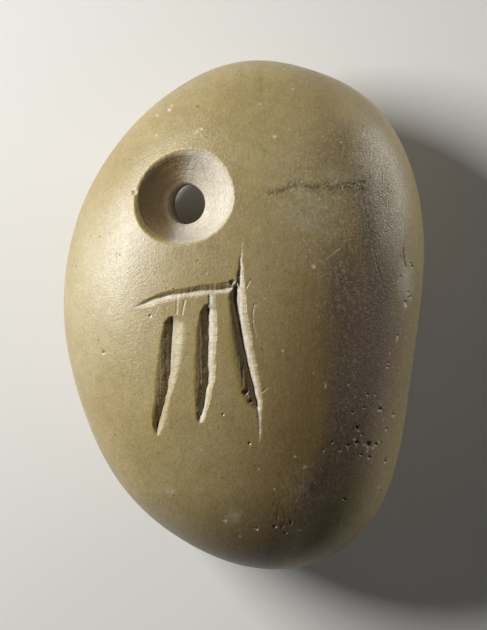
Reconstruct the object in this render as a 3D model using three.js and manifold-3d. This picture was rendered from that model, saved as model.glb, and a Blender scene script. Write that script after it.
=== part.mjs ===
// Pebble amulet: a water-worn pebble of fine olive stone, one piece throughout. A hole is drilled
// through it from both faces near its top left edge, to hang it by, and its front is incised with
// a crossbar and three strokes that hang from it.
// Millimetres. It lies on its back with its front up: +X right, +Y to its top end, +Z up.
// The origin is under the middle of its outline, on the surface that it lies on.
import * as THREE from "three";
import { mergeVertices } from "three/addons/utils/BufferGeometryUtils.js";
import Module from "manifold-3d";

// Pebble
const LENGTH = 75;
const WIDTH = 53.15;
const FRONT_RISE = 15; // from the widest level up to the crown of the front
const BACK_DROP = 13.5; // from the widest level down to the crown of the back, before wear
const REST_WEAR = 0.5; // worn off the back's crown, which leaves the flat that it lies on
const STONE_COLOUR = "#a99a70";

// Reach of the outline every 22.5 degrees, anticlockwise from +X, as a share of the half box.
// They are the control values of a smooth closed curve, which runs a little inside them.
const OUTLINE = [
  0.953, 1.084, 1.131, 1.023, 1.001, 0.957, 0.963, 1.002, 1.007, 0.954, 0.955, 0.932, 0.981, 1.057, 1.101, 0.954,
];

// How boxy a section through the middle is: 2 is an ellipse, and more is flatter with fuller sides.
const FRONT_SECTION = { across: 2.25, up: 2.1 };
const BACK_SECTION = { across: 2.5, up: 2.15 };

// Drilled hole. Its mouth lies in the slope of the shoulder, and each depth is down from the rim.
const HOLE_FROM_LEFT = 17.95; // middle of its front mouth, from the pebble's left edge
const HOLE_FROM_TOP = 20.35; // and from its top end
const MOUTH_RADIUS = 7.35;
const CONE_RADIUS = 6.3; // where the worn rim turns down into the drilled cone
const THROAT_RADIUS = 3.0;
const LOWER_RADIUS = 3.95; // where the drilling from the front meets the cone from the back
const BACK_MOUTH_RADIUS = 6.4;
const RIM_DEPTH = 0.9;
const THROAT_DEPTH = 5.7;
const LOWER_DEPTH = 12.5;
const CONE_BOW = 0.3; // the cone's wall is hollow by this much, as a hand-turned flint leaves it
const THROAT_DRIFT = [0.1, -0.8]; // sideways from the mouth to the throat
const LOWER_DRIFT = [1.6, 0]; // and on from the throat to the lower end
const LONGER_THAN_WIDE = { mouth: 0.96, throat: 1.08 };
const HOLE_SIDES = 48;

// Incised sign. Each point is measured from the corner where the crossbar meets the right stroke.
const SIGN_FROM_LEFT = 25;
const SIGN_FROM_TOP = 33.4;
const STROKE_DEPTH = 1.2;
const BAR_DEPTH = 0.6;
const TAIL_DEPTH = 0.35;
const ABOVE_STONE = 0.8; // how far a cutter stands out of the stone, as a share of its depth
const STEPS_PER_CUT = 14;

const widestLevel = BACK_DROP - REST_WEAR;
const holeX = HOLE_FROM_LEFT - WIDTH / 2;
const holeY = LENGTH / 2 - HOLE_FROM_TOP;
const signX = SIGN_FROM_LEFT - WIDTH / 2;
const signY = LENGTH / 2 - SIGN_FROM_TOP;

const wasm = await Module();
wasm.setup();

// Share of the half box that the outline reaches at an angle: a closed uniform cubic B-spline.
function outlineShare(angle) {
  const count = OUTLINE.length;
  const place = (((angle / (2 * Math.PI)) % 1) + 1) * count;
  const f = place % 1;
  const at = (k) => OUTLINE[(Math.floor(place) + k + count) % count];
  return (
    ((1 - f) ** 3 * at(-1) +
      (3 * f ** 3 - 6 * f ** 2 + 4) * at(0) +
      (-3 * f ** 3 + 3 * f ** 2 + 3 * f + 1) * at(1) +
      f ** 3 * at(2)) /
    6
  );
}

// Height of the pebble's front over a point of its plan.
function frontHeight(x, y) {
  const u = (2 * x) / WIDTH;
  const v = (2 * y) / LENGTH;
  const reach = Math.min(1, Math.hypot(u, v) / outlineShare(Math.atan2(v, u)));
  const { across, up } = FRONT_SECTION;
  return widestLevel + FRONT_RISE * (1 - reach ** across) ** (1 / up);
}

// A point of the unit sphere, carried out to the pebble's skin.
function toSkin(p) {
  const front = p.z >= 0;
  const { across, up } = front ? FRONT_SECTION : BACK_SECTION;
  const angle = Math.atan2(p.y, p.x);
  const reach = Math.min(1, Math.hypot(p.x, p.y)) ** (2 / across) * outlineShare(angle);
  const rise = Math.abs(p.z) ** (2 / up) * (front ? FRONT_RISE : -BACK_DROP);
  return p.set((reach * Math.cos(angle) * WIDTH) / 2, (reach * Math.sin(angle) * LENGTH) / 2, widestLevel + rise);
}

// A closed geometry as a solid that can be cut.
function solid(geometry) {
  const bare = new THREE.BufferGeometry().setAttribute("position", geometry.getAttribute("position"));
  if (geometry.index) bare.setIndex(geometry.index);
  const merged = mergeVertices(bare, 1e-4);
  return new wasm.Manifold(
    new wasm.Mesh({
      numProp: 3,
      vertProperties: new Float32Array(merged.attributes.position.array),
      triVerts: new Uint32Array(merged.index.array),
    }),
  );
}

function geometryOf(made) {
  const mesh = made.getMesh();
  const geometry = new THREE.BufferGeometry()
    .setAttribute("position", new THREE.BufferAttribute(mesh.vertProperties, mesh.numProp))
    .setIndex(new THREE.BufferAttribute(mesh.triVerts, 1));
  geometry.computeVertexNormals();
  return geometry;
}

function movePoints(geometry, move) {
  const places = geometry.getAttribute("position");
  const p = new THREE.Vector3();
  for (let i = 0; i < places.count; i++) {
    move(p.fromBufferAttribute(places, i));
    places.setXYZ(i, p.x, p.y, p.z);
  }
  return geometry;
}

function pebble() {
  const FACETING = 17; // each of the icosahedron's edges is split into this many more
  return solid(movePoints(new THREE.IcosahedronGeometry(1, FACETING), toSkin));
}

// What wear takes off the back: a block whose top is the level that the pebble lies on.
function restBlock() {
  const block = new THREE.BoxGeometry(2 * WIDTH, 2 * LENGTH, BACK_DROP);
  return solid(block.translate(0, 0, -BACK_DROP / 2));
}

// The drilled hole as a turned solid, which is pushed sideways where the drill wandered and whose
// upper rings lean with the shoulder that they open on.
function drilling() {
  const eastOf = frontHeight(holeX + MOUTH_RADIUS, holeY);
  const westOf = frontHeight(holeX - MOUTH_RADIUS, holeY);
  const northOf = frontHeight(holeX, holeY + MOUTH_RADIUS);
  const southOf = frontHeight(holeX, holeY - MOUTH_RADIUS);
  const slope = [(eastOf - westOf) / (2 * MOUTH_RADIUS), (northOf - southOf) / (2 * MOUTH_RADIUS)];
  const mouth = (eastOf + westOf + northOf + southOf) / 4;
  const rim = mouth - RIM_DEPTH;
  const throat = mouth - THROAT_DEPTH;
  const lower = mouth - LOWER_DEPTH;
  const cone = new THREE.QuadraticBezierCurve(
    new THREE.Vector2(THROAT_RADIUS, throat),
    new THREE.Vector2((THROAT_RADIUS + CONE_RADIUS) / 2 + CONE_BOW, (throat + rim) / 2 - CONE_BOW),
    new THREE.Vector2(CONE_RADIUS, rim),
  ).getPoints(6);
  const flare = (MOUTH_RADIUS - CONE_RADIUS) / RIM_DEPTH;
  const backFlare = (BACK_MOUTH_RADIUS - LOWER_RADIUS) / lower;
  const beyond = BACK_DROP / 2; // how far the cutter runs on past either face
  const profile = [
    new THREE.Vector2(0, -beyond),
    new THREE.Vector2(BACK_MOUTH_RADIUS + beyond * backFlare, -beyond),
    new THREE.Vector2(LOWER_RADIUS, lower),
    ...cone,
    new THREE.Vector2(MOUTH_RADIUS + beyond * flare, mouth + beyond),
    new THREE.Vector2(0, mouth + beyond),
  ];
  const turned = new THREE.LatheGeometry(profile, HOLE_SIDES).rotateX(Math.PI / 2);
  return solid(
    movePoints(turned, (p) => {
      const upper = THREE.MathUtils.clamp((mouth - p.z) / THROAT_DEPTH, 0, 1);
      const under = THREE.MathUtils.clamp((throat - p.z) / (LOWER_DEPTH - THROAT_DEPTH), 0, 1);
      p.y *= THREE.MathUtils.lerp(LONGER_THAN_WIDE.mouth, LONGER_THAN_WIDE.throat, upper);
      p.z += (1 - upper) * (slope[0] * p.x + slope[1] * p.y);
      p.x += holeX + upper * THROAT_DRIFT[0] + under * LOWER_DRIFT[0];
      p.y += holeY + upper * THROAT_DRIFT[1] + under * LOWER_DRIFT[1];
    }),
  );
}

// One sawn cut, whose section is a V with sides that run on out of the stone. The lines in plan of
// its two edges and of its bed are given from its start to its end. Left and right are as seen from
// its end, looking back along it.
function sawnCut({ left, bed, right, depth, endShare = 0.5 }) {
  const line = (points) =>
    new THREE.CatmullRomCurve3(points.map(([x, y]) => new THREE.Vector3(signX + x, signY + y, 0)));
  const lines = [left, bed, right].map(line);
  const corners = [];
  for (let i = 0; i <= STEPS_PER_CUT; i++) {
    const t = i / STEPS_PER_CUT;
    const [l, b, r] = lines.map((c) => c.getPoint(t));
    const ease = endShare + (1 - endShare) * Math.sin(Math.PI * t) ** 0.5;
    b.z = frontHeight(b.x, b.y) - depth * ease;
    for (const edge of [l, r]) edge.z = frontHeight(edge.x, edge.y);
    corners.push(...[l, b, r].map((p) => (p === b ? p : p.lerp(b, -ABOVE_STONE))));
  }
  const faces = [[0, 2, 1]];
  for (let i = 0; i < STEPS_PER_CUT; i++) {
    for (let k = 0; k < 3; k++) {
      const [a, b] = [3 * i + k, 3 * i + ((k + 1) % 3)];
      faces.push([a, b, b + 3], [a, b + 3, a + 3]);
    }
  }
  const last = 3 * STEPS_PER_CUT;
  faces.push([last, last + 1, last + 2]);
  const geometry = new THREE.BufferGeometry().setFromPoints(corners).setIndex(faces.flat());
  return solid(geometry);
}

// The sign's cuts
const CUTS = {
  leftStroke: {
    left: [[-10.1, -4.7], [-10.9, -10.3], [-11.5, -17.8], [-11.8, -20.6]],
    bed: [[-8.9, -4.7], [-8.8, -9.9], [-9.5, -15.9], [-11.1, -20.8]],
    right: [[-6.9, -4.5], [-7.5, -10.3], [-9.4, -17.4], [-10.2, -21.2]],
    depth: STROKE_DEPTH,
  },
  middleStroke: {
    left: [[-4.7, -2.9], [-5.4, -10.3], [-5.3, -15.9], [-5.1, -19.6]],
    bed: [[-3.7, -2.7], [-3.6, -8.5], [-3.7, -14.5], [-4.8, -19.2]],
    right: [[-2.2, -0.9], [-2.0, -6.5], [-2.4, -12.9], [-4.1, -19.7]],
    depth: STROKE_DEPTH,
  },
  rightStroke: {
    left: [[-0.6, 0.6], [-0.4, -6.5], [0.5, -12.1], [1.3, -16.3]],
    bed: [[0.2, 0.6], [0.9, -5.8], [2.1, -11.2], [3.3, -16.3]],
    right: [[1.5, 0.6], [2.5, -5.0], [3.6, -9.9], [4.4, -16.8]],
    depth: STROKE_DEPTH,
  },
  crossbar: {
    left: [[0.2, 1.1], [-2.0, 0.9], [-7.7, 0.1], [-11.8, -1.3], [-14.4, -2.7]],
    bed: [[0.3, 0.1], [-3.0, -0.3], [-8.6, -1.3], [-11.4, -1.9], [-14.3, -2.9]],
    right: [[0.4, -0.8], [-3.9, -1.6], [-7.7, -2.3], [-11.4, -2.9], [-14.2, -3.4]],
    depth: BAR_DEPTH,
  },
  upperTail: {
    left: [[1.2, 6.8], [0.7, 4.0], [0.1, 0.2]],
    bed: [[1.4, 6.8], [1.0, 4.0], [0.6, 0.2]],
    right: [[1.5, 6.8], [1.4, 4.0], [1.4, 0.2]],
    depth: TAIL_DEPTH,
  },
  lowerTail: {
    left: [[3.4, -15.4], [3.5, -18.5], [3.6, -22.1]],
    bed: [[3.8, -15.4], [3.8, -18.5], [3.8, -22.1]],
    right: [[4.3, -15.4], [4.2, -18.5], [4.0, -22.1]],
    depth: TAIL_DEPTH,
  },
};

const cutters = [restBlock(), drilling(), ...Object.values(CUTS).map(sawnCut)];
const stone = cutters.reduce((left, cutter) => left.subtract(cutter), pebble());

const amulet = new THREE.Group();
amulet.name = "pebble_amulet";
const body = new THREE.Mesh(
  geometryOf(stone),
  new THREE.MeshStandardMaterial({ color: STONE_COLOUR, roughness: 0.5, metalness: 0 }),
);
body.name = "pebble";
amulet.add(body);

export default amulet;
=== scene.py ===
import functools
import math
from collections import defaultdict, namedtuple

import bmesh
import bpy
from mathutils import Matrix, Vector, noise


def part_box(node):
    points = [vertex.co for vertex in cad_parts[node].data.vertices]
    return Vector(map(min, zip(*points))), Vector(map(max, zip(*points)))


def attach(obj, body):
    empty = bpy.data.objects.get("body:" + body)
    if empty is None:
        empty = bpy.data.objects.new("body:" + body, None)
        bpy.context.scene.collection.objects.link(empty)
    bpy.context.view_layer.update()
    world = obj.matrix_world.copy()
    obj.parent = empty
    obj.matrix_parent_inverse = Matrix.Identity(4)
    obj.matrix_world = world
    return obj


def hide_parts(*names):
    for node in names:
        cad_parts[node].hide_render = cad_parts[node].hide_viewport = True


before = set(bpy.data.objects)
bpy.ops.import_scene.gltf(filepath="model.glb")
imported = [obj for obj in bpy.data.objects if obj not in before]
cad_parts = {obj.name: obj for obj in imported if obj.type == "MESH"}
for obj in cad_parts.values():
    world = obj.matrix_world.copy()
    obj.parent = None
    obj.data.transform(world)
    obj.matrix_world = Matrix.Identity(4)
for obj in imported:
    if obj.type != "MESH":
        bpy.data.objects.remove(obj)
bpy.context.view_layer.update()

bl_info = {
    "name": "Pebble amulet",
    "version": (1, 0),
    "blender": (4, 5, 0),
    "location": "3D View > Sidebar > Amulet",
    "description": "Makes a pebble that is drilled and incised as an amulet, "
                   "and the stage it lies on",
    "category": "Add Mesh",
}

STONE_LOW, STONE_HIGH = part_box("pebble")
MM = 0.001

# Reach of the outline every 22.5 degrees, anticlockwise from +X, as a share of the half box
OUTLINE = (
    0.953, 1.084, 1.131, 1.023, 1.001, 0.957, 0.963, 1.002,
    1.007, 0.954, 0.955, 0.932, 0.981, 1.057, 1.101, 0.954,
)
# How boxy a section through the middle is, across and upwards: 2 is an ellipse
FRONT_SECTION = (2.25, 2.1)
BACK_SECTION = (2.5, 2.15)

# The hole. Its rim's reach is given every 30 degrees from +X, as a share of the mouth's radius. It
# drifts from the mouth to the throat, and from there to where the back's cone begins, and at each
# of these it is so many times as long as it is wide.
RIM_REACH = (1.004, 0.955, 1.026, 0.945, 0.95, 1.0, 1.005, 1.056, 1.012, 0.955, 0.98, 0.985)
HOLE_PLACE = (-8.625, 17.15)
THROAT_DRIFT = (0.22, -0.96)
LOWER_DRIFT = (1.05, 0.0)
MOUTH_LENGTHENED, THROAT_LENGTHENED, LOWER_LENGTHENED = 0.96, 1.05, 1.15
# The cone's wall on this side faces away from the key lamp: its soil there is partly painted shade
SHADED_SOIL_SIDE = math.radians(168)  # bearing of the side of the cone that holds soil

# The sawn cuts, in millimetres over the plan. A cut that runs down is given by y, then the x of its
# left edge, its bed and its right edge. One that runs across is given by x, then the y of its upper
# edge, its bed and its lower edge. Depth is a share of the strokes' depth, and a bend above 1 gives
# the wall on that side a worn, rounded shoulder.
Cut = namedtuple("Cut", "runs depth first_bend second_bend stations")
LEFT_STROKE = Cut("down", 1.0, 1.4, 2.4, (
    (-0.2, -10.8, -10.2, -9.3), (-1.1, -11.4, -10.3, -8.5), (-3.6, -11.85, -10.4, -8.5),
    (-8.0, -12.4, -10.6, -9.35), (-12.0, -12.75, -11.2, -10.5), (-15.5, -13.2, -12.3, -11.2),
    (-17.4, -12.9, -12.5, -11.9),
))
MIDDLE_STROKE = Cut("down", 0.95, 1.4, 1.25, (
    (1.6, -5.6, -5.0, -4.3), (0.4, -6.2, -5.05, -4.0), (-2.5, -6.6, -5.05, -4.0),
    (-6.0, -6.85, -5.1, -4.15), (-9.0, -6.95, -5.1, -4.25), (-13.5, -6.85, -5.8, -5.2),
    (-15.6, -6.7, -6.3, -5.8),
))
# Where the middle stroke narrows and runs up into the crossbar
NECK = Cut("down", 0.45, 0.8, 1.2, (
    (3.7, -5.05, -4.9, -4.1), (2.2, -5.1, -4.95, -4.1), (0.2, -5.1, -4.95, -4.0),
))
RIGHT_STROKE = Cut("down", 1.05, 2.3, 1.3, (
    (4.9, -1.3, -0.95, -0.15), (3.0, -2.2, -1.3, 0.15), (-0.5, -2.1, -0.8, 0.5),
    (-4.0, -1.85, -0.1, 1.15), (-7.5, -1.45, 0.7, 1.8), (-11.0, -0.6, 1.5, 2.5),
    (-12.6, 0.3, 1.9, 2.6), (-14.2, 1.9, 2.15, 2.4),
))
UPPER_TAIL = Cut("down", 0.9, 1.0, 1.2, (
    (11.2, -0.14, -0.1, -0.06), (8.0, -0.66, -0.42, -0.08), (3.4, -1.15, -0.6, 0.15),
))
LOWER_TAIL = Cut("down", 0.55, 1.0, 1.2, (
    (-13.0, 1.75, 2.1, 2.75), (-16.0, 2.05, 2.28, 2.65), (-18.3, 2.15, 2.3, 2.5),
))
CROSSBAR = Cut("across", 0.8, 0.9, 1.1, (
    (-15.9, 1.3, 1.15, 1.0), (-14.0, 2.2, 1.85, 1.2), (-12.4, 2.95, 2.5, 1.75),
    (-9.0, 3.75, 3.1, 2.4), (-5.6, 4.25, 3.55, 2.85), (-3.1, 4.55, 3.75, 3.1),
    (-1.0, 4.8, 4.0, 3.4),
))
CUTS = (LEFT_STROKE, MIDDLE_STROKE, NECK, RIGHT_STROKE, UPPER_TAIL, LOWER_TAIL, CROSSBAR)
EDGE_WEAR = 1.16  # how much further the worn shoulders reach than the cuts' edges

# Small natural marks, in millimetres: x, y, radius. A pit has a depth too.
PITS = (
    (19.95, -13.7, 0.34, 0.3), (21.98, -14.6, 0.26, 0.22), (17.5, -13.5, 0.24, 0.16),
    (15.8, -14.1, 0.26, 0.18), (18.1, -11.6, 0.24, 0.16), (19.2, -11.6, 0.2, 0.12),
    (16.5, -16.4, 0.34, 0.3), (16.5, -18.5, 0.36, 0.3), (18.3, -18.8, 0.46, 0.38),
    (19.4, -18.8, 0.28, 0.22), (15.2, -18.9, 0.3, 0.24), (21.0, -16.6, 0.26, 0.18),
    (18.4, -20.7, 0.28, 0.22), (12.9, -18.5, 0.2, 0.12), (11.6, -19.6, 0.2, 0.12),
    (14.0, -19.6, 0.24, 0.18), (17.1, -20.3, 0.22, 0.18), (20.8, -21.4, 0.26, 0.2),
    (17.3, -17.4, 0.22, 0.16), (14.7, -26.8, 0.28, 0.2), (6.1, -31.8, 0.26, 0.18),
    (21.1, -7.0, 0.24, 0.2), (21.0, -7.5, 0.22, 0.18), (22.5, -3.0, 0.22, 0.16),
    (24.5, 7.5, 0.24, 0.3), (24.6, 7.1, 0.26, 0.34), (22.9, 5.5, 0.2, 0.16),
    (24.1, 3.3, 0.22, 0.2), (24.4, 2.6, 0.26, 0.24), (23.7, 1.9, 0.3, 0.26),
    (0.2, -11.2, 0.5, 0.6), (0.95, -12.5, 0.34, 0.4), (-1.6, 4.75, 0.5, 0.4),
    (-13.6, -0.1, 0.24, 0.2), (0.9, -18.6, 0.26, 0.22), (-3.0, -14.4, 0.24, 0.2),
    (1.9, -31.2, 0.26, 0.18), (4.6, -30.8, 0.28, 0.2), (5.6, -30.9, 0.22, 0.14),
    (7.0, -30.3, 0.22, 0.14), (-15.9, 17.9, 0.45, 0.14), (-20.4, -5.5, 0.3, 0.2),
)
PALE_FLECKS = (
    (-10.9, 30.0, 0.36), (-10.5, 30.6, 0.24), (-12.6, 29.2, 0.26), (-6.1, 27.1, 0.28),
    (-6.6, 26.7, 0.2), (-12.7, 26.2, 0.2), (4.5, 25.9, 0.34), (10.2, 7.0, 0.42),
    (5.7, -5.2, 0.26), (10.1, -8.4, 0.22), (11.9, -10.4, 0.22), (7.5, -20.5, 0.2),
    (8.9, -22.1, 0.28), (2.3, -22.4, 0.22), (4.5, -25.3, 0.26), (-2.6, -30.0, 0.32),
    (-0.5, -32.3, 0.22), (16.1, -18.1, 0.3), (18.9, -19.4, 0.34), (19.8, -18.5, 0.3),
    (19.6, -14.0, 0.24), (-19.5, 0.9, 0.22), (0.7, -11.9, 0.3), (16.8, -16.9, 0.24),
    (17.5, -18.9, 0.3), (19.9, -25.2, 0.26), (8.2, -31.4, 0.24),
)
DARK_SPOTS = (
    (-6.8, 30.4, 0.22), (1.0, 27.9, 0.22), (3.0, 23.8, 0.18), (-5.4, 25.9, 0.18),
    (-21.0, 11.4, 0.26), (-18.5, 8.9, 0.26), (-19.5, 12.0, 0.18), (-14.3, 6.7, 0.2),
    (-14.3, -3.5, 0.18), (-3.1, -23.7, 0.2), (1.5, -21.8, 0.2), (2.65, -5.0, 0.3),
    (12.0, 22.3, 0.22), (3.5, 13.6, 0.18), (-24.6, 7.1, 0.2), (17.0, 21.5, 0.5),
)
# Lines, in millimetres: half width, depth, tone (-1 dark to 1 pale), how crumbly, and the points
Line = namedtuple("Line", "half depth tone crumbly points")
LINES = (
    Line(0.55, 0.11, -0.4, 1.0, ((3.9, 17.7), (6.0, 18.0), (7.1, 18.9), (9.7, 18.6), (11.2, 18.4))),
    Line(0.6, 0.12, -0.4, 1.0, ((12.0, 19.0), (12.9, 18.3), (14.8, 18.7), (17.3, 19.2))),
    Line(0.2, 0.03, -0.7, 0.6,
         ((17.2, 19.0), (17.4, 16.6), (17.8, 14.9), (18.3, 12.4), (19.0, 8.9))),
    Line(0.18, 0.03, -0.55, 0.6, ((19.0, 8.9), (19.6, 6.5), (20.6, 3.2))),
    Line(0.18, -0.06, 0.4, 0.4,
         ((22.9, 16.0), (23.45, 14.2), (23.4, 12.2), (23.0, 9.9), (23.0, 8.6))),
    Line(0.14, 0.12, -0.8, 0.3, ((23.3, 9.7), (23.3, 8.6), (23.7, 7.0))),
    Line(0.12, 0.05, -0.6, 0.2, ((5.05, -28.0), (4.87, -29.8))),
    Line(0.12, 0.05, -0.6, 0.2, ((5.8, -28.2), (6.2, -30.2))),
    Line(0.12, 0.03, 0.4, 0.2, ((11.9, 7.9), (13.0, 9.0), (14.0, 9.7))),
    Line(0.16, 0.1, 0.4, 0.0, ((0.4, 3.9), (0.9, 4.9))),
    Line(0.16, 0.1, 0.4, 0.0, ((2.7, -11.2), (3.3, -10.6))),
    Line(0.14, 0.08, 0.2, 0.1, ((1.6, 1.6), (1.3, 0.2), (1.4, -1.6), (1.8, -3.0))),
    Line(0.16, 0.08, 0.35, 0.2, ((-9.7, 0.2), (-9.6, 2.6))),
    Line(0.16, 0.08, 0.35, 0.2, ((-8.9, 0.1), (-8.5, 2.2))),
)


class PebbleSizes(bpy.types.PropertyGroup):
    length: bpy.props.FloatProperty(
        name="Length", description="From the pebble's top end to its bottom end",
        default=STONE_HIGH.y - STONE_LOW.y, unit="LENGTH")
    width: bpy.props.FloatProperty(
        name="Width", description="Across the pebble's front",
        default=STONE_HIGH.x - STONE_LOW.x, unit="LENGTH")
    thickness: bpy.props.FloatProperty(
        name="Thickness", description="From the flat that it lies on to the crown of its front",
        default=STONE_HIGH.z - STONE_LOW.z, unit="LENGTH")
    front_rise: bpy.props.FloatProperty(
        name="Front rise", description="From the widest level up to the crown of the front",
        default=15 * MM, unit="LENGTH")
    rest_wear: bpy.props.FloatProperty(
        name="Wear on the back", description="Worn off the back's crown, which leaves a flat",
        default=0.5 * MM, unit="LENGTH")
    mouth_radius: bpy.props.FloatProperty(
        name="Mouth radius", description="Of the drilled hole's worn front rim",
        default=7.35 * MM, unit="LENGTH")
    cone_radius: bpy.props.FloatProperty(
        name="Cone radius", description="Where the worn rim turns down into the drilled cone",
        default=6.6 * MM, unit="LENGTH")
    throat_radius: bpy.props.FloatProperty(
        name="Throat radius", description="Of the narrowest part of the hole",
        default=2.8 * MM, unit="LENGTH")
    throat_depth: bpy.props.FloatProperty(
        name="Throat depth", description="From the front mouth down to the narrowest part",
        default=5.7 * MM, unit="LENGTH")
    lower_radius: bpy.props.FloatProperty(
        name="Lower radius", description="Of the hole where the back's drilling begins to widen",
        default=2.65 * MM, unit="LENGTH")
    back_mouth_radius: bpy.props.FloatProperty(
        name="Back mouth radius", description="Of the hole's mouth in the back",
        default=6.2 * MM, unit="LENGTH")
    stroke_depth: bpy.props.FloatProperty(
        name="Stroke depth", description="Of the three sawn strokes",
        default=1.2 * MM, unit="LENGTH")


def linear(hex_colour):
    """An sRGB hex colour as linear red, green and blue."""
    shares = [int(hex_colour[i:i + 2], 16) / 255 for i in (1, 3, 5)]
    return tuple(c / 12.92 if c <= 0.04045 else ((c + 0.055) / 1.055) ** 2.4 for c in shares)


def colour(name, description, hex_colour):
    return bpy.props.FloatVectorProperty(
        name=name, description=description, subtype="COLOR", size=3, min=0, max=1,
        default=linear(hex_colour))


class StoneColours(bpy.types.PropertyGroup):
    skin: colour("Skin", "Olive skin of the pebble", "#a59464")
    skin_deep: colour("Deep skin", "Browner parts of the skin", "#8d7747")
    skin_green: colour("Grey-green skin", "Greyer and greener clouds in the skin", "#9b9168")
    # Brown is partly the skin's own browner tone and partly painted shade towards the lower right
    brown: colour("Brown skin", "Browner skin towards the lower right", "#6b5328")
    flank: colour("Flank", "Grey-brown stone of the right flank", "#67503a")
    # Deep flank also paints shade at the lower right and at the bottom end
    flank_deep: colour("Deep flank", "Dark stone along the flank's edge and the cracks", "#44362b")
    mottle: colour("Mottle", "Grey-green mottling", "#a29b81")
    fleck: colour("Flecks", "Pale mineral flecks", "#cfc7ad")
    speck: colour("Specks", "Dark mineral specks", "#4d4026")
    stain: colour("Stain", "Ochre that stains the stone beside the cuts", "#a1873f")
    cut: colour("Cut stone", "Chalky stone where a tool has cut it", "#ccc8bb")
    # Soil also paints shade on the cut walls and the cone's side that face away from the key lamp
    soil_and_shade: colour("Soil", "Brown soil rubbed into the cuts", "#8a6b42")
    floor: colour("Floor", "Pale floor", "#dcdad5")


def blend(a, b, f):
    """a where f is 0, b where it is 1, and evenly on between and beyond."""
    return a + (b - a) * f


def ease(low, high, value):
    """0 at low, 1 at high, with an even turn at both."""
    f = min(1.0, max(0.0, (value - low) / (high - low)))
    return f * f * (3 - 2 * f)


def soft_lower(a, b, width):
    """The lower of two heights, rounded where they meet."""
    near = max(width - abs(a - b), 0.0) / width
    return min(a, b) - near * near * width / 4


def closed_curve(values, angle):
    """A smooth closed curve through a circle of control values, read at an angle."""
    count = len(values)
    place = (angle / math.tau) % 1 * count
    k, f = int(place), place % 1
    a, b, c, d = (values[(k + j) % count] for j in (-1, 0, 1, 2))
    return ((1 - f) ** 3 * a + (3 * f ** 3 - 6 * f ** 2 + 4) * b
            + (-3 * f ** 3 + 3 * f ** 2 + 3 * f + 1) * c + f ** 3 * d) / 6


def across_at(stations, along):
    """The first edge, the bed and the second edge of a cut at a place along it."""
    low, high = sorted((stations[0][0], stations[-1][0]))
    along = min(max(along, low), high)
    for i, (near, far) in enumerate(zip(stations, stations[1:])):
        if min(near[0], far[0]) <= along <= max(near[0], far[0]):
            break
    f = (along - near[0]) / (far[0] - near[0])
    before, after = stations[max(i - 1, 0)], stations[min(i + 2, len(stations) - 1)]
    return [
        (2 * near[k] + (far[k] - before[k]) * f
         + (2 * before[k] - 5 * near[k] + 4 * far[k] - after[k]) * f ** 2
         + (3 * near[k] - before[k] - 3 * far[k] + after[k]) * f ** 3) / 2
        for k in (1, 2, 3)
    ]


def line_distance(points, x, y):
    """How far a place in the plan is from a line through some points."""
    best = math.inf
    for (ax, ay), (bx, by) in zip(points, points[1:]):
        dx, dy = bx - ax, by - ay
        f = min(1.0, max(0.0, ((x - ax) * dx + (y - ay) * dy) / (dx * dx + dy * dy)))
        best = min(best, math.hypot(x - ax - f * dx, y - ay - f * dy))
    return best


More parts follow.
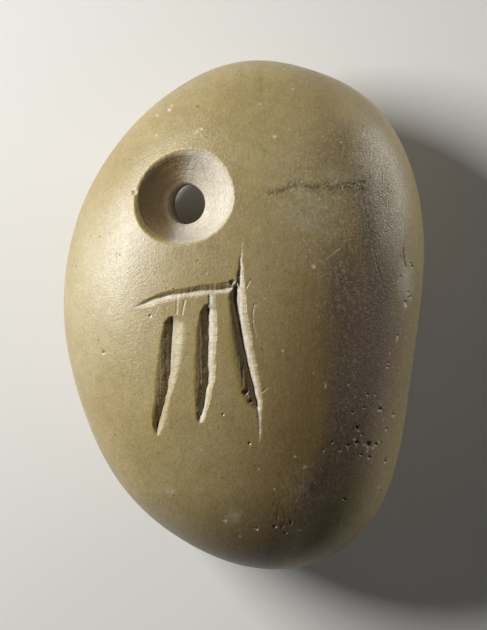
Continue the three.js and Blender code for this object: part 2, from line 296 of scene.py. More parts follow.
class PebbleForm:
    """The pebble's skin and what is cut into it, in millimetres."""

    RIM_DEPTH = 0.75
    LOWER_DEPTH = 12.5
    CONE_BOW = 0.3
    RIM_ROUNDING = 0.3
    PAST_THROAT = 1.0  # how far down the cone goes on, where the bore then takes it out
    CONE_ROUNDS = 6  # in which a point's place in the leaning, drifting cone is found
    FINE_RILLS, RILLS, UNEVEN = 0.01, 0.07, 0.05  # heights on the cone's wall

    # River wear: how far it brings the skin in, and the length, height and seed of its waves
    MEAN_WEAR = 0.17
    WAVES = (
        (15, 0.1, (3.1, 0.4, 7.7)), (5.5, 0.035, (1.3, 8.2, 2.9)), (1.8, 0.012, (6.3, 1.9, 4.4)),
    )

    # The sawn cuts: how far their edges and bed stray, the length over which their ends run out,
    # the breadth below which they are shallower, and how high the saw's marks on their walls are
    STRAY, FINE_STRAY = 0.14, 0.06
    RUN_OUT, FULL_BREADTH = 1.3, 1.8
    FIRST_MARKS, SECOND_MARKS, CHATTER = 0.08, 0.13, 0.06

    # The small marks
    RUBBLE_REACH, RUBBLE_HEIGHT = 2, 0.07  # beside a crumbly crack; its reach is in half widths
    FLECK_HEIGHT = 0.02
    MARGIN = 0.05  # kept around a pit, a fleck or a spot

    # Length that the mesh's edges may have where nothing is shown, at the flat and in the cone
    BACK_EDGE, FRONT_EDGE, FLAT_EDGE, CONE_EDGE = 1.0, 0.8, 0.6, 0.17
    FLAT_TOP = 1.2
    CONE_FROM, CONE_TO = 2.2, 8.4
    # The same in the marks, and beside a cut; how far a cut's two zones reach past its edges
    MARK_EDGE, LINE_EDGE, CUT_EDGE, BESIDE_EDGE = 0.11, 0.13, 0.11, 0.4
    CUT_REACH, BESIDE_REACH = 0.35, 1.2
    LINE_STEP, CUT_STEP = 0.3, 0.4  # between the places at which lines and cuts are noted
    SQUARE = 0.5  # marks are looked up by squares of the plan

    def __init__(self, sizes):
        self.half_width = sizes.width / MM / 2
        self.half_length = sizes.length / MM / 2
        self.front_rise = sizes.front_rise / MM
        self.widest = (sizes.thickness - sizes.front_rise) / MM
        self.back_drop = self.widest + sizes.rest_wear / MM
        self.mouth_radius = sizes.mouth_radius / MM
        self.cone_radius = sizes.cone_radius / MM
        self.throat_radius = sizes.throat_radius / MM
        self.throat_depth = sizes.throat_depth / MM
        self.lower_radius = sizes.lower_radius / MM
        self.back_mouth_radius = sizes.back_mouth_radius / MM
        self.stroke_depth = sizes.stroke_depth / MM
        x, y, r = *HOLE_PLACE, self.mouth_radius
        east, west = self.front_height(x + r, y), self.front_height(x - r, y)
        north, south = self.front_height(x, y + r), self.front_height(x, y - r)
        self.mouth = (east + west + north + south) / 4
        self.slope = ((east - west) / (2 * r), (north - south) / (2 * r))
        self.marks = defaultdict(list)
        self.finest = defaultdict(lambda: self.FRONT_EDGE)
        self.place_marks()

    def note(self, x, y, reach, edge, mark):
        """Keeps a mark by the squares that it reaches, and how fine the mesh is there."""
        left, right = (math.floor((x + side) / self.SQUARE) for side in (-reach, reach))
        low, high = (math.floor((y + side) / self.SQUARE) for side in (-reach, reach))
        for i in range(left, right + 1):
            for j in range(low, high + 1):
                self.finest[i, j] = min(edge, self.finest[i, j])
                if mark not in self.marks[i, j]:
                    self.marks[i, j].append(mark)

    def at(self, kept, p):
        """What is kept for the square that a point lies over."""
        return kept[math.floor(p.x / self.SQUARE), math.floor(p.y / self.SQUARE)]

    def place_marks(self):
        """Notes every small mark, line and cut where it lies."""
        for kind, marks in (("pit", PITS), ("fleck", PALE_FLECKS), ("spot", DARK_SPOTS)):
            for mark in marks:
                self.note(mark[0], mark[1], mark[2] + self.MARGIN, self.MARK_EDGE, (kind, mark))
        for line in LINES:
            reach = line.half * (self.RUBBLE_REACH if line.crumbly == 1 else 1)
            for (ax, ay), (bx, by) in zip(line.points, line.points[1:]):
                steps = math.ceil(math.hypot(bx - ax, by - ay) / self.LINE_STEP)
                for i in range(steps + 1):
                    x, y = blend(ax, bx, i / steps), blend(ay, by, i / steps)
                    self.note(x, y, reach, self.LINE_EDGE, ("line", line))
        for cut in CUTS:
            first, last = cut.stations[0][0], cut.stations[-1][0]
            steps = math.ceil(abs(last - first) / self.CUT_STEP)
            for i in range(steps + 1):
                along = blend(first, last, i / steps)
                one, _, other = across_at(cut.stations, along)
                rows = math.ceil(abs(other - one) / self.CUT_STEP)
                for j in range(rows + 1):
                    across = blend(one, other, j / rows)
                    x, y = (across, along) if cut.runs == "down" else (along, across)
                    self.note(x, y, self.CUT_REACH, self.CUT_EDGE, ("cut", cut))
                    self.note(x, y, self.BESIDE_REACH, self.BESIDE_EDGE, ("cut", cut))

    def front_height(self, x, y):
        """Height of the front over a place in the plan, before wear and tools."""
        u, v = x / self.half_width, y / self.half_length
        reach = min(1.0, math.hypot(u, v) / closed_curve(OUTLINE, math.atan2(v, u)))
        across, up = FRONT_SECTION
        return self.widest + self.front_rise * (1 - reach ** across) ** (1 / up)

    def skin(self, p):
        """A point of the unit sphere, carried out to the pebble's skin."""
        across, up = FRONT_SECTION if p.z >= 0 else BACK_SECTION
        angle = math.atan2(p.y, p.x)
        reach = min(1.0, math.hypot(p.x, p.y)) ** (2 / across) * closed_curve(OUTLINE, angle)
        rise = abs(p.z) ** (2 / up) * (self.front_rise if p.z >= 0 else -self.back_drop)
        return Vector((reach * math.cos(angle) * self.half_width,
                       reach * math.sin(angle) * self.half_length, self.widest + rise))

    def wear(self, p):
        """How far river wear has brought the skin in at a point."""
        inward = self.MEAN_WEAR
        for length, height, seed in self.WAVES:
            inward += height * noise.noise(p / length + Vector(seed))
        return inward

    def edge_at(self, p):
        """The length that an edge of the mesh may have at a point of the skin."""
        if p.z < self.widest:
            return self.FLAT_EDGE if p.z < self.FLAT_TOP else self.BACK_EDGE
        away = math.hypot(p.x - HOLE_PLACE[0], p.y - HOLE_PLACE[1])
        if self.CONE_FROM < away < self.CONE_TO:
            return min(self.CONE_EDGE, self.at(self.finest, p))
        return self.at(self.finest, p)

    def marks_at(self, p, tones):
        """How far the small marks bring the skin in at a point."""
        inward = 0.0
        for kind, mark in self.at(self.marks, p):
            if kind == "cut":
                continue
            if kind == "line":
                away = line_distance(mark.points, p.x, p.y) / mark.half
                if mark.crumbly == 1 and away < self.RUBBLE_REACH:
                    near = 1 - away / self.RUBBLE_REACH
                    rubble = noise.noise(p * 2.9) + 0.5 * noise.noise(p * 6.1)
                    inward += self.RUBBLE_HEIGHT * rubble * near
                    tones["tint"] = max(tones["tint"], near * ease(-0.3, 0.25, rubble))
                if away < 1:
                    broken = 1 - mark.crumbly * (0.55 - 1.5 * noise.noise(p * 2.3))
                    share = (1 - away) ** 0.8 * min(1.0, max(0.0, broken))
                    inward += mark.depth * share
                    tones["pale" if mark.tone > 0 else "dark"] += abs(mark.tone) * share
                continue
            ragged = 1 + 0.7 * noise.noise(p * 4.3)
            away = math.hypot(p.x - mark[0], p.y - mark[1]) / (mark[2] * ragged)
            if away >= 1:
                continue
            if kind == "pit":
                # Painted light and shade: pale where its wall faces the key lamp, darker on the
                # rest
                lit_side = ease(0.1, 0.8, (p.x - mark[0] - p.y + mark[1]) / mark[2])
                inward += mark[3] * (1 - away * away) ** 1.5
                tones["dark"] += 0.75 * (1 - away) * (1 - lit_side)
                tones["pale"] += 0.85 * lit_side * ease(1.0, 0.7, away)
            elif kind == "fleck":
                inward -= self.FLECK_HEIGHT * (1 - away)
                tones["pale"] += 0.75 * ease(1.0, 0.3, away)
            else:
                tones["dark"] += 0.7 * ease(1.0, 0.4, away)
        return inward

    def cuts_at(self, p, tones):
        """How deep the sawn sign is at a point."""
        deepest = 0.0
        for kind, cut in self.at(self.marks, p):
            if kind != "cut":
                continue
            along, across = (p.y, p.x) if cut.runs == "down" else (p.x, p.y)
            low, high = sorted((cut.stations[0][0], cut.stations[-1][0]))
            past = max(low - along, along - high, 0.0)
            seed = cut.stations[0][1]
            first, bed, second = (
                place + self.STRAY * noise.noise(Vector((along * 0.8, seed, k)))
                + self.FINE_STRAY * noise.noise(Vector((along * 2.9, seed, k + 5)))
                for k, place in enumerate(across_at(cut.stations, along))
            )
            on_first = (across - bed) * (first - bed) > 0
            breadth = abs((first if on_first else second) - bed)
            f = 1 - abs(across - bed) / (max(breadth, 0.05) * EDGE_WEAR)
            outside = math.hypot(max(-f, 0.0) * breadth, past)
            tones["stain"] = max(tones["stain"], (1 - outside) * (0.8 if on_first else 0.3))
            if f <= 0 or past > 0:
                continue
            ends = min(1.0, min(along - low, high - along) / self.RUN_OUT)
            narrow = min(1.0, (abs(first - bed) + abs(second - bed)) / self.FULL_BREADTH) ** 2
            bend = cut.first_bend if on_first else cut.second_bend
            full = self.stroke_depth * cut.depth * math.sqrt(ends * (2 - ends)) * narrow
            here = full * f ** bend
            lines = noise.noise(Vector((across * 3.0, along * 0.12, seed * 5.3)))
            rough = noise.noise(Vector((across * 2.2, along * 1.1, seed * 2.9)))
            marks = self.FIRST_MARKS if on_first else self.SECOND_MARKS
            marked = marks * lines + self.CHATTER * rough
            here = max(0.0, here + marked * ease(0.0, 0.35, f) * min(1.0, here * 3))
            starts, whole = (0.12, 0.36) if on_first else (0.05, 0.55)
            opened = ease(starts * bend, whole * bend, f)
            if here > deepest:
                deepest = here
                # Soil holds to the beds. The first walls, which face away from the key lamp, get
                # soil, little
                # chalk and a dark tone: partly soil, partly painted shade. The second walls are
                # rubbed clean
                chalk = 0.12 if on_first else 0.95 + 0.5 * rough
                tones["chalk"] = opened * chalk * blend(1.0, 0.55, f ** 6)
                tones["soil_and_shade"] = opened * (0.5 + 0.4 * f if on_first else 0.12 + 0.6 * f ** 6)
                tones["dark"] = opened * min(0.45, 0.6 / bend) * f if on_first else 0.0
        return deepest

    def cone_at(self, x, y):
        """Height of the drilled cone's wall over a point, its radius there, and its bearing."""
        upper = 0.5
        for _ in range(self.CONE_ROUNDS):
            dx = x - HOLE_PLACE[0] - upper * THROAT_DRIFT[0]
            dy = y - HOLE_PLACE[1] - upper * THROAT_DRIFT[1]
            tall = blend(MOUTH_LENGTHENED, THROAT_LENGTHENED, upper)
            bearing = math.atan2(dy, dx)
            uneven = blend(closed_curve(RIM_REACH, bearing), 1.0, min(1.0, upper * 1.6))
            radius = math.hypot(dx, dy / tall) / uneven
            if radius >= self.cone_radius:
                share = (self.mouth_radius - radius) / (self.mouth_radius - self.cone_radius)
                depth = self.RIM_DEPTH * share
            else:
                f = (self.cone_radius - radius) / (self.cone_radius - self.throat_radius)
                bow = 4 * self.CONE_BOW * f * (1 - f) if f < 1 else 0.0
                depth = blend(self.RIM_DEPTH, self.throat_depth, f) + bow
            upper = min(1.0, max(0.0, depth / self.throat_depth))
        depth = min(depth, self.throat_depth + self.PAST_THROAT)
        lean = (1 - upper) * (self.slope[0] * dx + self.slope[1] * dy)
        return self.mouth - depth + lean, radius, bearing

    def drill(self, p, tones):
        """The height of a point of the front once the cone has been drilled."""
        wall, radius, bearing = self.cone_at(p.x, p.y)
        swirl = noise.noise(Vector((p.x, p.y, 0)) * 0.4)
        east, north = math.cos(bearing), math.sin(bearing)
        rills = self.FINE_RILLS * math.sin(radius * 9.6 + 2.5 * swirl)
        rills += self.RILLS * noise.noise(Vector((radius * 2.4, 0.9 * east, 0.9 * north)))
        wall += rills * (1.0 if radius < self.cone_radius else 0.5)
        broad, small = noise.noise(Vector((p.x, p.y, 3)) * 1.5), noise.noise(p * 3.6)
        wall += self.UNEVEN * broad + self.UNEVEN * small
        below = p.z - wall
        # Soil, stain and less chalk on the side that faces away from the key lamp: partly painted
        # shade
        soiled_and_shaded = ease(-0.02, 0.5, math.cos(bearing - SHADED_SOIL_SIDE) + 0.2 * swirl)
        tones["stain"] = max(tones["stain"], ease(-1.1, 0.0, below) * blend(0.25, 1.0, soiled_and_shaded))
        if below > 0:
            drilled = ease(self.cone_radius + 0.3, self.cone_radius - 0.1, radius)
            tones["rill"] = drilled
            chalk = blend(0.75 * (1 - soiled_and_shaded), blend(1.0, 0.12, soiled_and_shaded), drilled)
            tones["chalk"] = max(tones["chalk"], ease(0.0, 0.2, below) * chalk)
            ringed = 1 + 0.7 * noise.noise(Vector((radius * 2.0, 0.6 * east, 7 + 0.6 * north)))
            tones["soil_and_shade"] = max(tones["soil_and_shade"], 0.8 * soiled_and_shaded * ringed * ease(0.1, 0.6, below))
        return soft_lower(p.z, wall, self.RIM_ROUNDING)

    def bore_radius(self, depth):
        """The bore's radius at a depth: nearly even, and then widening to the back mouth."""
        if depth < self.LOWER_DEPTH:
            f = (depth - self.throat_depth) / (self.LOWER_DEPTH - self.throat_depth)
            return blend(self.throat_radius, self.lower_radius, f)
        f = (depth - self.LOWER_DEPTH) / (self.mouth - self.LOWER_DEPTH)
        return blend(self.lower_radius, self.back_mouth_radius, f)

    def bore_place(self, depth):
        """The bore's centre at a depth, and how many times as long as wide it is there."""
        under = (depth - self.throat_depth) / (self.LOWER_DEPTH - self.throat_depth)
        under = min(1.0, max(0.0, under))
        x, y = (HOLE_PLACE[k] + THROAT_DRIFT[k] + under * LOWER_DRIFT[k] for k in (0, 1))
        return x, y, blend(THROAT_LENGTHENED, LOWER_LENGTHENED, under)


# What the mesh tells the material at each vertex, each from 0 to 1
TONES = ("chalk", "soil_and_shade", "stain", "pale", "dark", "tint", "rill")
SPLITS = 5  # rounds of splitting edges
TOO_LONG = 1.45  # an edge is split once it is this many times as long as it may be
CUT_LEVEL = 2  # the sign and the cone lie at least this far above the widest level
DRILL_REACH = 9.4  # from the hole's middle, as far as stain and worn stone go
FLAT_ROUNDING = 0.3


def pebble_mesh(form):
    """The pebble in millimetres, with its cone, sign, pits and cracks."""
    bm = bmesh.new()
    bmesh.ops.create_icosphere(bm, subdivisions=6, radius=1)
    place = bm.verts.layers.float_vector.new("place")
    for v in bm.verts:
        v[place] = form.skin(v.co)
    for _ in range(SPLITS):
        long_edges = []
        for e in bm.edges:
            a, b = (v[place] for v in e.verts)
            if (a - b).length > TOO_LONG * form.edge_at((a + b) / 2):
                long_edges.append(e)
        made = bmesh.ops.subdivide_edges(bm, edges=long_edges, cuts=1)
        for v in made["geom_inner"]:
            if isinstance(v, bmesh.types.BMVert):
                v.co.normalize()
                v[place] = form.skin(v.co)
        bmesh.ops.triangulate(bm, faces=[f for f in bm.faces if len(f.verts) > 3])
    for v in bm.verts:
        v.co = v[place]
    bm.normal_update()
    layers = {name: bm.verts.layers.float.new(name) for name in TONES}
    place = bm.verts.layers.float_vector["place"]
    for v in bm.verts:
        p, tones = v[place].copy(), dict.fromkeys(TONES, 0.0)
        inward = form.wear(p)
        if p.z > form.widest:
            inward += form.marks_at(p, tones)
        p -= v.normal * inward
        if p.z > form.widest + CUT_LEVEL:
            p.z -= form.cuts_at(p, tones)
            if math.hypot(p.x - HOLE_PLACE[0], p.y - HOLE_PLACE[1]) < DRILL_REACH:
                p.z = form.drill(p, tones)
        if p.z < form.widest:
            p.z = -soft_lower(-p.z, 0.0, FLAT_ROUNDING)
        v.co = p
        for name, layer in layers.items():
            v[layer] = min(1.0, tones[name])
    bm.verts.layers.float_vector.remove(place)
    return bm


BORE_RINGS, BORE_SIDES = 46, 96
BORE_START = 1.6  # above the throat, inside the drilled cone
BORE_RILLS = 0.035


def bore_mesh(form):
    """The bore from the throat to the back as a closed turned solid, in millimetres."""
    top, back = form.throat_depth - BORE_START, form.mouth
    profile = [(0.0, top), (form.throat_radius, top), (form.throat_radius, form.throat_depth)]
    for i in range(1, BORE_RINGS + 1):
        depth = blend(form.throat_depth, back - 0.7, i / BORE_RINGS)
        rill = BORE_RILLS * math.sin(depth * 8.5 + math.sin(depth * 2.1))
        profile.append((form.bore_radius(depth) + rill, depth))
    # It flares where it leaves the back, and ends below the stone
    profile += [(form.back_mouth_radius + 1.1, back + 0.6),
                (form.back_mouth_radius + 3, back + 2.4), (0.0, back + 2.4)]
    bm = bmesh.new()
    line = [bm.verts.new((r, 0, -d)) for r, d in profile]
    edges = [bm.edges.new(pair) for pair in zip(line, line[1:])]
    bmesh.ops.spin(bm, geom=line + edges, cent=(0, 0, 0), axis=(0, 0, 1),
                   angle=math.tau, steps=BORE_SIDES, use_merge=True)
    bmesh.ops.remove_doubles(bm, verts=bm.verts, dist=1e-4)
    for v in bm.verts:
        x, y, tall = form.bore_place(-v.co.z)
        v.co = (v.co.x + x, v.co.y * tall + y, v.co.z + form.mouth)
    bmesh.ops.recalc_face_normals(bm, faces=bm.faces)
    return bm


def to_object(bm, name):
    """An object in metres from a mesh in millimetres, which isn't needed any more."""
    bmesh.ops.scale(bm, vec=(MM, MM, MM), verts=bm.verts)
    mesh = bpy.data.meshes.new(name)
    bm.to_mesh(mesh)
    bm.free()
    made = bpy.data.objects.new(name, mesh)
    bpy.context.scene.collection.objects.link(made)
    return made


def take_out(bore, stone):
    """Cuts the bore out of the stone's mesh."""
    cutting = stone.modifiers.new("bore", "BOOLEAN")
    cutting.operation = "DIFFERENCE"
    cutting.solver = "EXACT"
    cutting.object = bore
    depsgraph = bpy.context.evaluated_depsgraph_get()
    mesh = bpy.data.meshes.new_from_object(stone.evaluated_get(depsgraph))
    stone.modifiers.clear()
    old = stone.data
    stone.data = mesh
    bpy.data.meshes.remove(old)
    bpy.data.objects.remove(bore)
    mesh.name = stone.name


LIP_SMOOTHING, RIM_SMOOTHING = 3, 4  # rounds for the throat's lip and for the back rim
SLIVER = 0.004 * MM


def finish_bore(stone, form):
    """Rounds the throat's lip and the back rim, and gives the bore's wall its tones."""
    bm = bmesh.new()
    bm.from_mesh(stone.data)
    layers = bm.verts.layers.float
    chalk, soil_and_shade, stain, rill = (layers[name] for name in ("chalk", "soil_and_shade", "stain", "rill"))
    bmesh.ops.dissolve_degenerate(bm, dist=SLIVER, edges=bm.edges)
    bmesh.ops.triangulate(bm, faces=[f for f in bm.faces if len(f.verts) > 3])
    lip, rim = [], []
    for v in bm.verts:
        depth = form.mouth - v.co.z / MM
        x, y, tall = form.bore_place(depth)
        away = math.hypot(v.co.x / MM - x, (v.co.y / MM - y) / tall)
        if depth > form.throat_depth - 1.2 and away < form.back_mouth_radius + 2:
            wall = form.bore_radius(max(depth, form.throat_depth))
            drilled = ease(wall + 0.8, wall + 0.3, away)
            v[chalk] = max(v[chalk], 0.5 * drilled)
            v[soil_and_shade] = max(v[soil_and_shade], 0.5 * drilled)
            v[rill] = max(v[rill], drilled)
            if depth > form.LOWER_DEPTH:
                v[stain] = max(v[stain], 0.8 * ease(wall + 2.0, wall + 0.5, away))
        if abs(away - form.throat_radius) < 0.3 and abs(depth - form.throat_depth) < 1.5:
            lip.append(v)
        if v.co.z < 4.5 * MM and form.back_mouth_radius - 1 < away < form.back_mouth_radius + 1.6:
            rim.append(v)
    for verts, times in ((lip, LIP_SMOOTHING), (rim, RIM_SMOOTHING)):
        for _ in range(times):
            bmesh.ops.smooth_vert(
                bm, verts=verts, factor=0.5, use_axis_x=True, use_axis_y=True, use_axis_z=True)
    for f in bm.faces:
        f.smooth = True
    bm.to_mesh(stone.data)
    bm.free()


def node(tree, kind, links, out=0, **settings):
    """Adds a shader node with its settings and links, and gives the output that is asked for."""
    made = tree.nodes.new("ShaderNode" + kind)
    for name, value in settings.items():
        setattr(made, name, value)
    for name, value in links.items():
        socket = made.inputs[name]
        if isinstance(value, bpy.types.NodeSocket):
            tree.links.new(value, socket)
        elif socket.type == "RGBA":
            socket.default_value = (*value, 1)
        else:
            socket.default_value = value
    return made.outputs[out] if made.outputs else None


def new_material(name):
    """An empty material, and the call that adds nodes to it."""
    material = bpy.data.materials.new(name)
    material.use_nodes = True
    material.node_tree.nodes.clear()
    return material, functools.partial(node, material.node_tree)


# Water-worn siltstone, rubbed by handling: an olive skin with a soft sheen, in which fine pale and
# dark grains show, a greyer and coarser flank, and dull chalky stone wherever a tool has cut it.
# Silt's own grains are under 0.06 mm. They are drawn at 0.3 to 0.4 mm, the finest that the
# picture's 0.15 mm pixels can show.
def stone_material(colours):
    material, add = new_material("water-worn siltstone")
    place = add("TexCoord", {}, "Object")

    def patch(x, y, wide, tall, edge):
        """1 in an oval patch of the front, falling to 0 at its ragged edge."""
        moved = add("Mapping", {"Vector": place, "Location": (x * MM, y * MM, 22 * MM),
                                "Scale": (wide * MM, tall * MM, 14 * MM)}, vector_type="TEXTURE")
        far = add("VectorMath", {0: moved}, "Value", operation="LENGTH")
        torn = add("TexNoise", {"Vector": moved, "Scale": 2.2, "Detail": 5, "Roughness": 0.62})
        far = add("Math", {0: torn, 1: far}, operation="ADD")
        # The noise is 0.5 on average, so a patch ends at 1.5
        return add("MapRange", {"Value": far, "From Min": 1.5, "From Max": 1.5 - edge})

    def specks(apart, radius, seed):
        """1 in specks of about a radius in millimetres, strewn that far apart."""
        near = {"Vector": place, "Scale": 1 / (apart * MM), "W": seed}
        far = add("TexVoronoi", near, "Distance", voronoi_dimensions="4D")
        own = add("SeparateColor", {0: add("TexVoronoi", near, "Color", voronoi_dimensions="4D")})
        size = add("MapRange", {"Value": own, "To Min": 0.3, "To Max": 1.3})
        share = add("Math", {0: far, 1: size}, operation="DIVIDE")
        limit = radius / apart
        return add("MapRange", {"Value": share, "From Min": limit * 1.1, "From Max": limit * 0.7})

    def grain(size, seed, detail=2.0, rough=0.55, at=place, low=0.0, high=1.0, to=(0.0, 1.0)):
        """Noise with grains of a size in millimetres, stretched from one range to another."""
        made = add("TexNoise", {"Vector": at, "Scale": 1 / (size * MM), "Detail": detail,
                                "Roughness": rough, "W": seed}, noise_dimensions="4D")
        return add("MapRange", {"Value": made, "From Min": low, "From Max": high,
                                "To Min": to[0], "To Max": to[1]})

    tone = {name: add("Attribute", {}, "Fac", attribute_name=name) for name in TONES}
    x, y = (add("SeparateXYZ", {0: place}, axis) for axis in "XY")

    # The grey-brown flank lies right of a ragged line and below the cracks, dark along its edge and
    # tan again at the rim, a tan that is partly a painted rim light. The line runs down at an x of
    # 11.3 to 14.6 mm, and slants to the lower left below a y of -16 mm. The skin browns and darkens
    # towards
    # it: partly its own tone, partly painted shade.
    torn = grain(5, 3, 5, 0.65, to=(-2.2 * MM, 2.2 * MM))
    x, y = (add("Math", {0: value, 1: torn}, operation="ADD") for value in (x, y))
    below = add("MapRange", {"Value": y, "From Min": 11 * MM, "From Max": 5 * MM})
    across = add("Math", {0: add("Math", {0: y, 1: -16 * MM}, operation="MINIMUM"), 1: -0.4, 2: x},
                 operation="MULTIPLY_ADD")
    flank, edge = (
        add("MapRange", {"Value": across, "From Min": (low + 6.4) * MM,
                         "From Max": (high + 6.4) * MM})
        for low, high in ((11.3, 14.6), (17.5, 13.5)))
    oval = add("Mapping", {"Vector": place, "Scale": (*STONE_HIGH.xy, 1)}, vector_type="TEXTURE")
    # The tan band at the flank's rim is partly a painted rim light
    rim = add("MapRange", {"Value": add("VectorMath", {0: oval}, "Value", operation="LENGTH"),
                           "From Min": 0.77, "From Max": 1.0})
    rim = add("Math", {0: rim, 1: flank}, operation="MULTIPLY")
    # Darker towards the bottom end: mostly painted shade, partly a darker end of the stone
    low_end_shade = add("MapRange", {"Value": y, "From Min": -25 * MM, "From Max": -36 * MM})
    flank = add("Math", {0: flank, 1: below}, operation="MULTIPLY")
    edge = add("Math", {0: edge, 1: flank}, operation="MULTIPLY")
    leaning = add("Math", {0: y, 1: -0.25, 2: x}, operation="MULTIPLY_ADD")
    browned_and_shaded = add("MapRange", {"Value": leaning, "From Min": -2 * MM, "From Max": 12.5 * MM})
    mottled = patch(10.5, 17.0, 9.5, 12.5, 1.1)
    greyed = add("Mix", {0: grain(2.6, 4, 4, 0.65, low=0.4, high=0.62), 6: colours.skin_deep,
                         7: colours.mottle}, 2, data_type="RGBA")
    crowded = add("Math", {0: specks(0.5, 0.15, 2), 1: mottled}, operation="MULTIPLY")
    drawn = add("Mapping", {"Vector": place, "Scale": (1, 9, 1)}, vector_type="TEXTURE")
    streaks = grain(0.35, 6, 3, 0.6, drawn, 0.35, 0.7)
    leather = grain(0.42, 7, 4, 0.75, low=0.3, high=0.7)
    frosted = add("Math", {0: patch(14.0, 14.0, 13.0, 18.0, 1.2), 1: 0.25}, operation="ADD")
    frosted = add("Math", {0: flank, 1: 0.35, 2: frosted}, operation="MULTIPLY_ADD")
    brushed = add("Math", {0: streaks, 1: patch(7.8, -25.5, 3.2, 5.0, 1.2)}, operation="MULTIPLY")
    frost = add("Math", {0: grain(0.34, 14, 2, 0.6, low=0.5, high=0.72), 1: frosted},
                operation="MULTIPLY")
    dots = specks(1.1, 0.16, 3)

    # The drill's rills, 0.32 mm apart: a wave texture has 20 radians to a unit
    hub = add("Mapping", {"Vector": place, "Location": (HOLE_PLACE[0] * MM, HOLE_PLACE[1] * MM, 0)},
              vector_type="TEXTURE")
    rills = add("TexWave", {"Vector": hub, "Scale": math.tau / (20 * 0.32 * MM), "Distortion": 9,
                            "Detail": 3, "Detail Scale": 0.5}, "Fac",
                wave_type="RINGS", rings_direction="Z")
    rills = add("Math", {0: rills, 1: tone["rill"]}, operation="MULTIPLY")

    # Cut stone: soil, partly painted shade on the walls that face away from the key lamp, and dull
    # chalky stone on the others
    rubbed = grain(0.6, 8, 4, 0.7, low=0.3, high=0.6, to=(0.6, 1))
    held_and_shaded, opened = (
        add("Math", {0: tone[name], 1: rubbed}, operation="MULTIPLY") for name in ("soil_and_shade", "chalk"))
    soil_and_shade, cut = (
        add("Mix", {0: share, 6: under, 7: over}, 2, data_type="RGBA")
        for share, under, over in (
            (grain(0.7, 9, 4, 0.65, low=0.42, high=0.7, to=(0, 0.5)), colours.soil_and_shade, colours.skin),
            (grain(0.5, 10, 4, 0.7, low=0.42, high=0.72, to=(0, 0.4)), colours.cut, colours.soil_and_shade),
        ))

    # From the skin up: each layer's mask, its strength and its colour
    surface = colours.skin
    for mask, strength, over in (
        (grain(13, 1, 3, low=0.38, high=0.64), 0.5, colours.skin_deep),
        (grain(8, 2, 4, 0.6, low=0.47, high=0.68), 0.6, colours.skin_green),
        (grain(1.8, 5, 5, 0.7, low=0.42, high=0.66), 0.5, colours.skin_deep),
        # Browner and darker towards the lower right: partly the stone's tone, partly painted shade
        (browned_and_shaded, 0.85, colours.brown),
        (mottled, 0.85, greyed),
        (flank, 0.95, colours.flank),
        (edge, 0.7, colours.flank_deep),
        # Painted shade at the bottom end, partly a darker end of the stone
        (low_end_shade, 0.65, colours.flank_deep),
        # Painted shade at the lower right, where the front turns away from the lamps
        (patch(12.0, -28.0, 4.5, 7.5, 1.2), 1.0, colours.flank_deep),
        # Tan rim: partly the stone's tone, partly painted rim light
        (rim, 0.8, colours.skin),
        # Dark bands along the crack and its upper end: partly dark stone, partly painted shade
        (patch(18.2, 12.5, 1.9, 8.5, 0.9), 0.6, colours.flank_deep),
        (patch(17.4, 18.2, 3.2, 3.2, 0.9), 0.5, colours.flank_deep),
        (patch(14.8, 25.0, 1.6, 5.0, 0.9), 0.5, colours.brown),
        (patch(14.5, 24.0, 6.5, 6.0, 1.2), 0.6, colours.flank),
        (patch(12.6, 18.3, 4.8, 1.3, 0.9), 0.35, colours.flank_deep),
        (patch(2.4, 34.0, 0.9, 3.4, 0.8), 0.6, colours.skin_deep),
        # Pale wash on the left flank: a painted sheen that adds to the lamps' highlight there
        (patch(-22.0, 4.0, 7.5, 17.0, 1.2), 0.38, colours.fleck),
        (patch(23.6, 5.0, 1.6, 4.2, 1.0), 0.6, colours.fleck),
        (patch(-10.6, -25.6, 1.2, 0.9, 1.0), 0.3, colours.fleck),
        (patch(-1.3, -29.2, 1.6, 1.5, 1.0), 0.25, colours.fleck),
        (specks(1.2, 0.17, 1), 0.5, colours.fleck),
        (crowded, 0.7, colours.fleck),
        (frost, 0.4, colours.fleck),
        (dots, 0.7, colours.speck),
        (leather, 0.34, colours.speck),
        (streaks, 0.06, colours.fleck),
        (brushed, 0.25, colours.fleck),
        (tone["tint"], 0.6, colours.speck),
        (tone["stain"], 0.34, colours.stain),
        (held_and_shaded, 1.0, soil_and_shade),
        (opened, 1.0, cut),
        (rills, 0.2, colours.soil_and_shade),
        (tone["pale"], 0.8, colours.fleck),
        (tone["dark"], 0.85, colours.speck),
    ):
        share = add("Math", {0: mask, 1: strength}, operation="MULTIPLY")
        surface = add("Mix", {0: share, 6: surface, 7: over}, 2, data_type="RGBA")

    # The skin has a soft sheen, the flank less, cut stone none, and the upper right glitters
    bare = add("Math", {0: tone["chalk"], 1: tone["soil_and_shade"]}, operation="MAXIMUM")
    roughness = grain(0.5, 11, 3, 0.6, low=0.3, high=0.7, to=(0.3, 0.42))
    coarse = 0.9
    glitter = patch(20.6, 17.5, 2.6, 8, 0.9)
    for mask, rougher, coarser in ((flank, 0.06, 0.5), (bare, 0.4, 0.7), (glitter, -0.08, 2.4)):
        roughness = add("Math", {0: mask, 1: rougher, 2: roughness}, operation="MULTIPLY_ADD")
        coarse = add("Math", {0: mask, 1: coarser, 2: coarse}, operation="MULTIPLY_ADD")

    # Relief: grain that is coarser on the flank and in the cuts, rubbed streaks, a leathery skin,
    # rills and dimples
    relief = add("Math", {0: grain(0.26, 12, 3, 0.7), 1: coarse}, operation="MULTIPLY")
    for mask, height in ((streaks, 0.06), (leather, 0.6), (rills, 0.4), (dots, -0.6)):
        relief = add("Math", {0: mask, 1: height, 2: relief}, operation="MULTIPLY_ADD")
    bump = add("Bump", {"Strength": 0.7, "Distance": 0.06 * MM, "Height": relief})

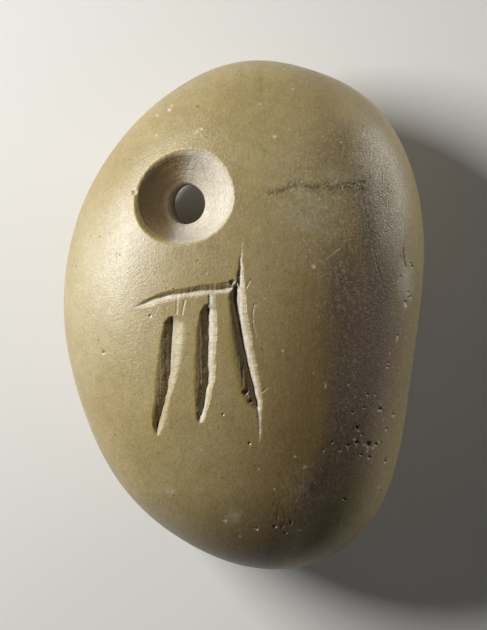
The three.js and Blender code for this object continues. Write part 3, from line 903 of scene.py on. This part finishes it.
    shader = add("BsdfPrincipled", {"Base Color": surface, "Roughness": roughness, "IOR": 1.6,
                                    "Normal": bump})
    add("OutputMaterial", {"Surface": shader})
    return material


# Matt card: pale and even, with no sheen.
def floor_material(colours):
    material, add = new_material("matt card")
    shader = add("BsdfPrincipled", {"Base Color": colours.floor, "Roughness": 0.9,
                                    "Specular IOR Level": 0.1})
    add("OutputMaterial", {"Surface": shader})
    return material


MOST_FACES = 200_000


class AMULET_OT_pebble(bpy.types.Operator):
    """Make the drilled and incised pebble"""

    bl_idname = "amulet.pebble"
    bl_label = "Pebble"

    def execute(self, context):
        form = PebbleForm(context.scene.amulet_sizes)
        stone = to_object(pebble_mesh(form), "drilled_pebble")
        take_out(to_object(bore_mesh(form), "bore"), stone)
        finish_bore(stone, form)
        stone.data.materials.clear()
        stone.data.materials.append(stone_material(context.scene.amulet_colours))
        if len(stone.data.polygons) > MOST_FACES:
            raise RuntimeError(f"the pebble has over {MOST_FACES:,} faces")
        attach(stone, "root")
        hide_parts("pebble")
        return {"FINISHED"}


# The studio's lamps: bearing and height in degrees, size in metres, and strength, where 1 lights a
# surface that faces the lamp so that its colour shows as written
LAMPS = {
    "key": (156, 33, (0.18, 0.03), 1.46),
    "low": (168, 2, (0.14, 0.03), 0.17),
    "fill": (26, 4, (0.16, 0.04), 0.5),
}
LAMP_DISTANCE = 0.35
LAMP_SPREAD = math.radians(110)  # keeps the floor by the lamps from burning out
SPREAD_GAIN = 2.6  # how much brighter that lights what a lamp faces
AMBIENT = 0.03

PHOTO_HEIGHT, PEBBLE_IN_PHOTO = 630, 511.7  # the frame's height and the pebble's length, in pixels
CAMERA_DISTANCE = 1.0
FLOOR_HALF = 1500  # millimetres


class AMULET_OT_stage(bpy.types.Operator):
    """Make the floor, the lamps and the camera"""

    bl_idname = "amulet.stage"
    bl_label = "Stage"

    def execute(self, context):
        bm = bmesh.new()
        bmesh.ops.create_grid(bm, x_segments=1, y_segments=1, size=FLOOR_HALF)
        floor = to_object(bm, "floor")
        floor.data.materials.append(floor_material(context.scene.amulet_colours))

        sizes = context.scene.amulet_sizes
        middle = Vector((0, 0, sizes.thickness / 2))
        for name, (bearing, height, size, strength) in LAMPS.items():
            lamp = bpy.data.lights.new(name, "AREA")
            lamp.shape = "RECTANGLE"
            lamp.size, lamp.size_y = size
            lamp.spread = LAMP_SPREAD
            lamp.energy = strength * math.pi ** 2 * LAMP_DISTANCE ** 2 / SPREAD_GAIN
            bearing, height = math.radians(bearing), math.radians(height)
            away = Vector((
                math.cos(bearing) * math.cos(height), math.sin(bearing) * math.cos(height),
                math.sin(height)))
            thing = bpy.data.objects.new(name, lamp)
            thing.location = middle + away * LAMP_DISTANCE
            thing.rotation_euler = away.to_track_quat("Z", "Y").to_euler()
            context.scene.collection.objects.link(thing)

        world = bpy.data.worlds.new("studio")
        world.use_nodes = True
        background = world.node_tree.nodes["Background"]
        background.inputs["Color"].default_value = (1, 1, 1, 1)
        background.inputs["Strength"].default_value = AMBIENT
        context.scene.world = world

        # Square to the engraved front, on a long lens
        camera = bpy.data.cameras.new("camera")
        seen = sizes.length * PHOTO_HEIGHT / PEBBLE_IN_PHOTO
        camera.lens = camera.sensor_width * CAMERA_DISTANCE / seen
        camera.clip_start, camera.clip_end = 0.05, 10
        thing = bpy.data.objects.new("camera", camera)
        thing.location = (0, 0, sizes.thickness - sizes.front_rise + CAMERA_DISTANCE)
        context.scene.collection.objects.link(thing)
        context.scene.camera = thing
        context.scene.view_settings.view_transform = "Standard"
        return {"FINISHED"}


class AMULET_PT_panel(bpy.types.Panel):
    """Lists the amulet's sizes, colours and operators"""

    bl_idname = "AMULET_PT_panel"
    bl_label = "Pebble amulet"
    bl_space_type = "VIEW_3D"
    bl_region_type = "UI"
    bl_category = "Amulet"

    def draw(self, context):
        column = self.layout.column()
        for group in (context.scene.amulet_sizes, context.scene.amulet_colours):
            for key in group.__annotations__:
                column.prop(group, key)
        for operator in OPERATORS:
            column.operator(operator.bl_idname)


OPERATORS = (AMULET_OT_pebble, AMULET_OT_stage)
CLASSES = (PebbleSizes, StoneColours, *OPERATORS, AMULET_PT_panel)


def register():
    for cls in CLASSES:
        bpy.utils.register_class(cls)
    bpy.types.Scene.amulet_sizes = bpy.props.PointerProperty(type=PebbleSizes)
    bpy.types.Scene.amulet_colours = bpy.props.PointerProperty(type=StoneColours)


def unregister():
    del bpy.types.Scene.amulet_colours
    del bpy.types.Scene.amulet_sizes
    for cls in reversed(CLASSES):
        bpy.utils.unregister_class(cls)


def main():
    register()
    bpy.ops.amulet.pebble()
    bpy.ops.amulet.stage()


if __name__ == "__main__":
    main()
